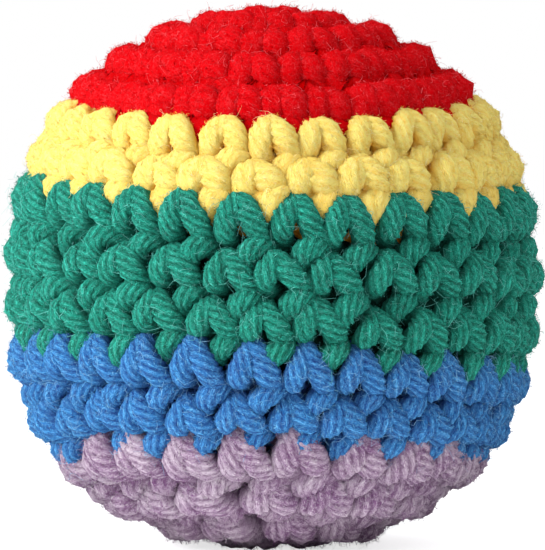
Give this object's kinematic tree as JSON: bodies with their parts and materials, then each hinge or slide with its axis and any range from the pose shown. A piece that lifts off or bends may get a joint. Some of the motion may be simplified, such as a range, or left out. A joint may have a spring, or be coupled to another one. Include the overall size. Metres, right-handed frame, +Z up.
{
  "type": "footbag",
  "caption": "Round crocheted footbag in coloured bands of plied yarn, worked in rounds and filled with loose pellets.",
  "frame": {"origin": "on the floor under the middle of the bag", "axes": "+Z up along the axis of the rounds, from the base to the crown; the pictured front is towards -Y"},
  "size_m": [0.0546, 0.0548, 0.0554],
  "materials": {
    "red_crown": "fuzzy plied yarn, bright red",
    "yellow_band": "soft plied yarn, light yellow",
    "green_band": "plied yarn, blue-green",
    "blue_band": "plied yarn, mid blue",
    "purple_base": "plied yarn, dusty purple",
    "pellet_fill": "dark loose pellets"
  },
  "bodies": {
    "root": {"red_crown": "red_crown", "yellow_band": "yellow_band", "green_band": "green_band", "blue_band": "blue_band", "purple_base": "purple_base", "pellet_fill": "pellet_fill"}
  },
  "joints": []
}
